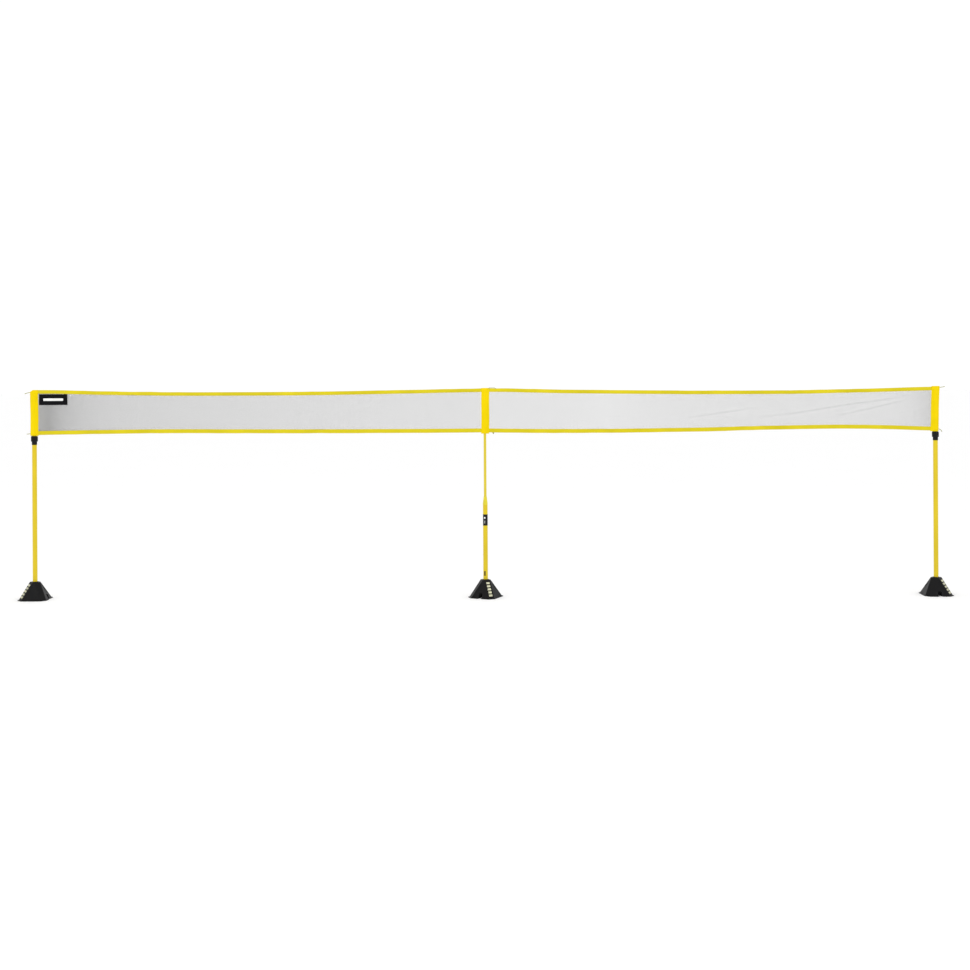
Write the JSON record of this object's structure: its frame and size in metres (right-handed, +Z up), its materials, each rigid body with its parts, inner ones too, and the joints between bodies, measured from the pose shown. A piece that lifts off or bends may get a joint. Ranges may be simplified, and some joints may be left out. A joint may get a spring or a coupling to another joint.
{
  "type": "portable volley net",
  "caption": "Long low volley net on telescoping posts, with pole sleeves, hems, tension cords, twist locks and weighted pyramid bases.",
  "frame": {"origin": "on the ground under the middle post, at the centre of the set", "axes": "+X along the net to the right seen from the front, -Y the front (the side with the sewn patch), +Z up"},
  "size_m": [5.62, 0.21, 1.2646],
  "materials": {
    "base_plastic": "fine moulded texture, low sheen",
    "tray_plastic": "plain moulded",
    "ballast": "rough moulded",
    "base_bush": "smooth moulded",
    "screws": "zinc plated",
    "base_pads": "printed, slightly glossy",
    "tube_paint": "powder coated, satin",
    "upper_tube_paint": "powder coated, satin",
    "plugs": "plain moulded",
    "sleeve_fabric": "plain woven polyester",
    "lock_plastic": "smooth moulded, soft highlights",
    "collet_plastic": "natural nylon",
    "hem_fabric": "folded woven tape",
    "net_mesh": "fine open knotless mesh",
    "reducer_plastic": "moulded, satin",
    "label_film": "printed film",
    "mark_film": "printed film",
    "patch_fabric": "printed sewn patch",
    "cord": "braided polyester"
  },
  "bodies": {
    "posts": {"left_outer_tube": "tube_paint", "left_foot_plug": "plugs", "left_lock_body": "lock_plastic", "left_collet": "collet_plastic", "middle_outer_tube": "tube_paint", "middle_foot_plug": "plugs", "middle_reducer": "reducer_plastic", "middle_label": "label_film", "middle_mark": "mark_film", "right_outer_tube": "tube_paint", "right_foot_plug": "plugs", "right_lock_body": "lock_plastic", "right_collet": "collet_plastic"},
    "net": {"left_upper_tube": "upper_tube_paint", "left_guide_plug": "plugs", "left_top_cap": "plugs", "right_upper_tube": "upper_tube_paint", "right_guide_plug": "plugs", "right_top_cap": "plugs", "left_sleeve": "sleeve_fabric", "middle_sleeve": "sleeve_fabric", "right_sleeve": "sleeve_fabric", "left_top_hem": "hem_fabric", "right_top_hem": "hem_fabric", "left_bottom_hem": "hem_fabric", "right_bottom_hem": "hem_fabric", "left_mesh": "net_mesh", "right_mesh": "net_mesh", "net_patch": "patch_fabric", "top_cord": "cord", "bottom_cord": "cord", "top_lashing": "cord", "bottom_knot": "cord"},
    "mast": {"middle_upper_tube": "upper_tube_paint", "middle_top_cap": "plugs", "middle_cam_hub": "plugs", "middle_cam_ring": "plugs"},
    "left_lock": {"left_lock_nut": "lock_plastic"},
    "right_lock": {"right_lock_nut": "lock_plastic"},
    "left_base": {"left_base_shell": "base_plastic", "left_base_tray": "tray_plastic", "left_base_ballast": "ballast", "left_base_bush": "base_bush", "left_base_screws": "screws", "left_base_pads": "base_pads"},
    "middle_base": {"middle_base_shell": "base_plastic", "middle_base_tray": "tray_plastic", "middle_base_ballast": "ballast", "middle_base_bush": "base_bush", "middle_base_screws": "screws", "middle_base_pads": "base_pads"},
    "right_base": {"right_base_shell": "base_plastic", "right_base_tray": "tray_plastic", "right_base_ballast": "ballast", "right_base_bush": "base_bush", "right_base_screws": "screws", "right_base_pads": "base_pads"}
  },
  "joints": [
    {"name": "net_height", "type": "slide", "parent": "posts", "child": "net", "axis": [0, 0, 1], "range_m": [0, 0.3]},
    {"name": "mast_twist", "type": "hinge", "parent": "net", "child": "mast", "pos_m": [0, 0, 0.8], "axis": [0, 0, 1], "range_deg": [0, 180]},
    {"name": "left_lock_twist", "type": "hinge", "parent": "posts", "child": "left_lock", "pos_m": [-2.722, 0, 0.97], "axis": [0, 0, 1], "range_deg": [0, 180]},
    {"name": "right_lock_twist", "type": "hinge", "parent": "posts", "child": "right_lock", "pos_m": [2.722, 0, 0.97], "axis": [0, 0, 1], "range_deg": [0, 180]},
    {"name": "left_base_swivel", "type": "hinge", "parent": "posts", "child": "left_base", "pos_m": [-2.722, 0, 0.05], "axis": [0, 0, 1], "continuous": true},
    {"name": "middle_base_swivel", "type": "hinge", "parent": "posts", "child": "middle_base", "pos_m": [0, 0, 0.05], "axis": [0, 0, 1], "continuous": true},
    {"name": "right_base_swivel", "type": "hinge", "parent": "posts", "child": "right_base", "pos_m": [2.722, 0, 0.05], "axis": [0, 0, 1], "continuous": true}
  ]
}
